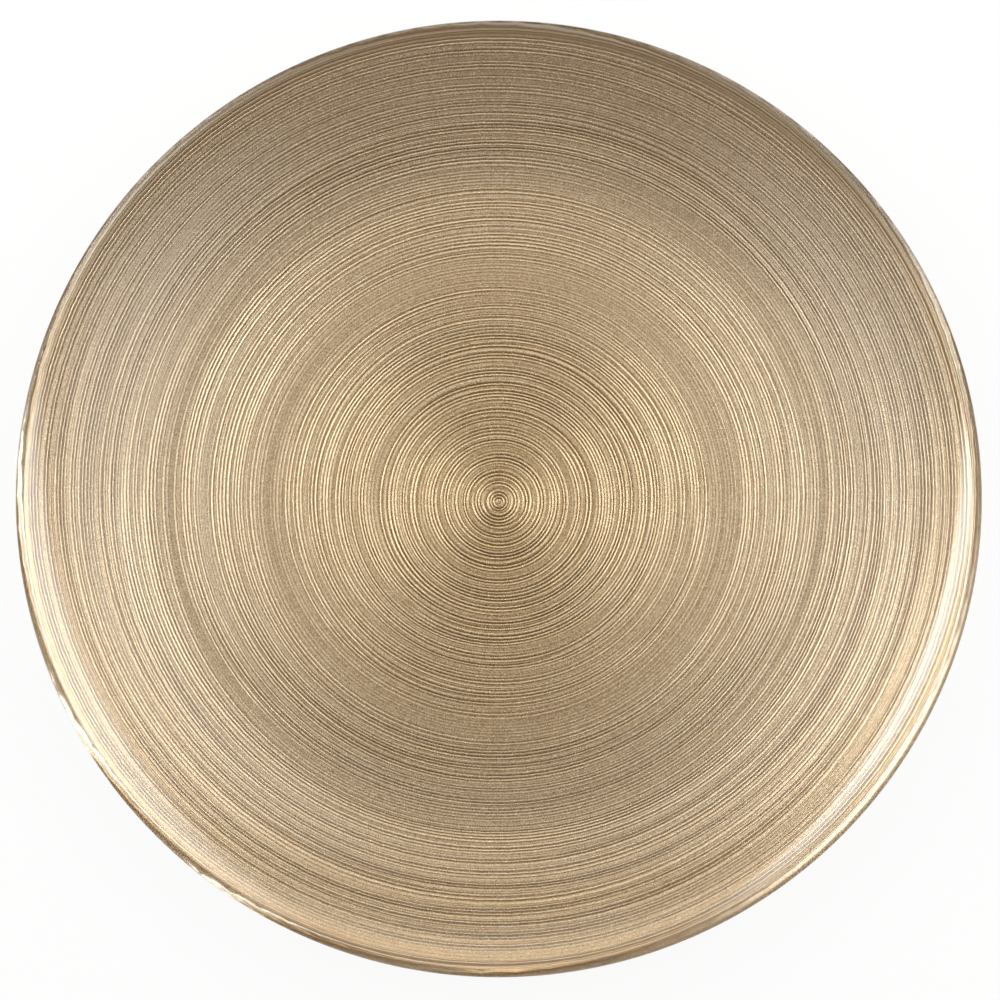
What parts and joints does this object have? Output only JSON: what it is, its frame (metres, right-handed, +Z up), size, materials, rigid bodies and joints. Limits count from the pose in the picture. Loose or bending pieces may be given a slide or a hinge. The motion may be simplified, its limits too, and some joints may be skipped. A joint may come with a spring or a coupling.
{
  "type": "charger plate",
  "caption": "Round back-painted glass charger plate, a shallow dish with a broad flat base and a rim that curves up, on self-adhesive bumper feet; a dinner plate stands on it.",
  "frame": {"origin": "centre of the plane that the four feet stand on", "axes": "+Z up along the plate's axis, out of the dish"},
  "size_m": [0.33, 0.33, 0.0232],
  "materials": {
    "clear_glass": "fire-polished",
    "gold_paint": "metallic paint film",
    "backing_paint": "satin paint film",
    "bumper": "clear polyurethane",
    "adhesive": "clear acrylic adhesive"
  },
  "bodies": {
    "root": {"glass_plate": "clear_glass", "gold_coat": "gold_paint", "backing_coat": "backing_paint", "bumper_foot_1": "bumper", "bumper_foot_2": "bumper", "bumper_foot_3": "bumper", "bumper_foot_4": "bumper", "adhesive_disc_1": "adhesive", "adhesive_disc_2": "adhesive", "adhesive_disc_3": "adhesive", "adhesive_disc_4": "adhesive"}
  },
  "joints": []
}
